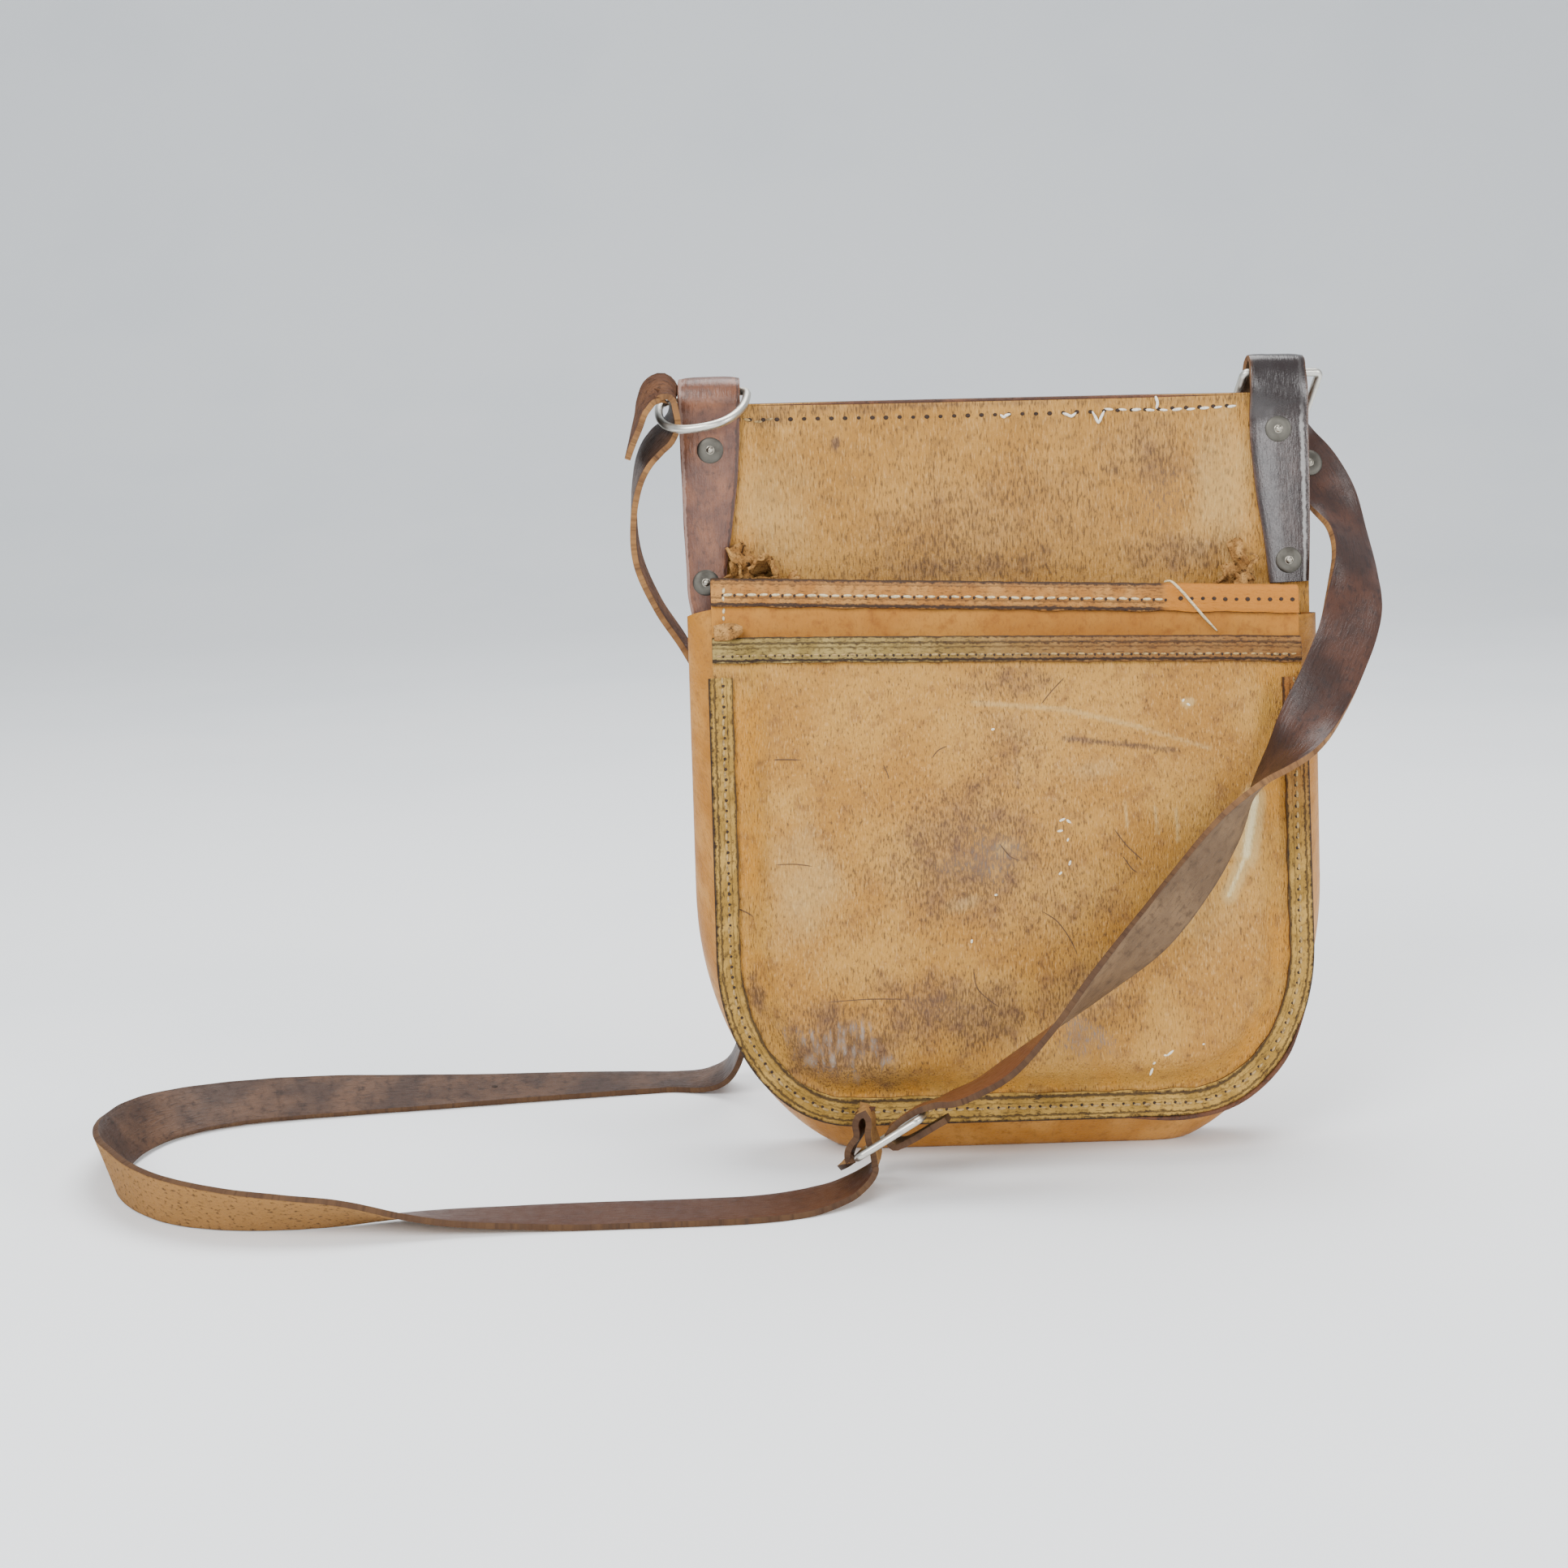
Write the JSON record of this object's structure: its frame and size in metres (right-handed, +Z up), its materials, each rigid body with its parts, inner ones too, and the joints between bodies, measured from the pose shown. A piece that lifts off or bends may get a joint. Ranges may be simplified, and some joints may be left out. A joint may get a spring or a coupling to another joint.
{
  "type": "leather satchel",
  "caption": "Stiff leather shoulder satchel with a tall back, a main pocket, a moulded front pocket and a long strap joined by metal rings",
  "frame": {"origin": "middle of the flat of the bag's bottom, on the surface that it stands on", "axes": "+X to the right as seen from the front, +Y towards the tall back panel, +Z up"},
  "size_m": [0.4981, 0.1784, 0.2958],
  "materials": {
    "back_panel": "matte",
    "middle_panel": "satin",
    "main_gusset": "satin",
    "front_panel": "satin",
    "rim_binding": "matte",
    "front_hem": "matte",
    "edge_binding": "matte",
    "tab_left": "satin",
    "tab_right": "gloss",
    "strap_long": "satin",
    "strap_short": "satin",
    "ring_left": "satin",
    "ring_right": "satin",
    "ring_strap": "satin",
    "rivet_left_upper": "satin",
    "rivet_left_lower": "satin",
    "rivet_right_upper": "satin",
    "rivet_right_lower": "satin",
    "rivet_strap": "satin"
  },
  "bodies": {
    "root": {"back_panel": "back_panel", "middle_panel": "middle_panel", "main_gusset": "main_gusset", "front_panel": "front_panel", "rim_binding": "rim_binding", "front_hem": "front_hem", "edge_binding": "edge_binding", "tab_left": "tab_left", "tab_right": "tab_right", "strap_long": "strap_long", "strap_short": "strap_short", "ring_left": "ring_left", "ring_right": "ring_right", "ring_strap": "ring_strap", "rivet_left_upper": "rivet_left_upper", "rivet_left_lower": "rivet_left_lower", "rivet_right_upper": "rivet_right_upper", "rivet_right_lower": "rivet_right_lower", "rivet_strap": "rivet_strap"}
  },
  "joints": []
}
